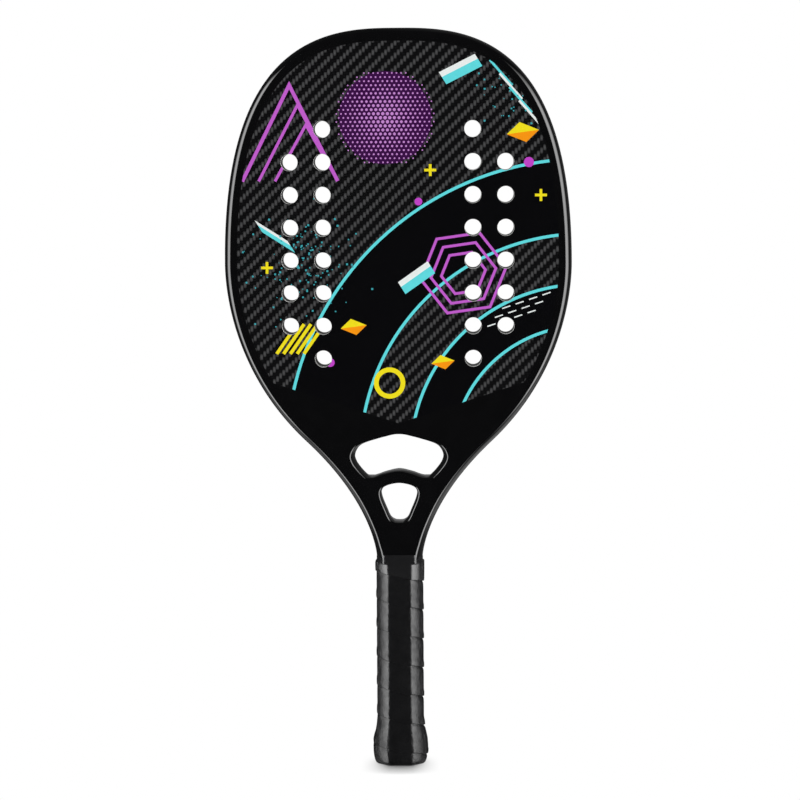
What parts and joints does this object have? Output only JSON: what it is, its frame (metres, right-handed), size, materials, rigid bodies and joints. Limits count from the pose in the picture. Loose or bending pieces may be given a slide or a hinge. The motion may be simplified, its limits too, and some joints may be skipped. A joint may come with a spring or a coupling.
{
  "type": "beach tennis racket",
  "caption": "Solid-faced beach tennis racket: hollow carbon frame, drilled woven faces over foam, open bridged throat and a taped octagonal handle.",
  "frame": {"origin": "centre of the flat bottom of the butt cap, with the racket standing on it", "axes": "+Z along the handle towards the head, +X across the face, -Y out of the front face"},
  "size_m": [0.2344, 0.0346, 0.5],
  "materials": {
    "lacquer": "gloss black lacquer over carbon",
    "weave": null,
    "foam": "closed-cell foam",
    "cap_plastic": "moulded satin black plastic",
    "grip": "satin black synthetic leather strip",
    "vinyl": "thin black vinyl band"
  },
  "bodies": {
    "root": {"frame_tube": "lacquer", "throat_yoke": "lacquer", "foam_core": "foam", "front_face": "weave", "back_face": "weave", "handle_foam_left": "foam", "handle_foam_right": "foam", "butt_cap": "cap_plastic", "grip_tape": "grip", "finishing_tape": "vinyl"}
  },
  "joints": []
}
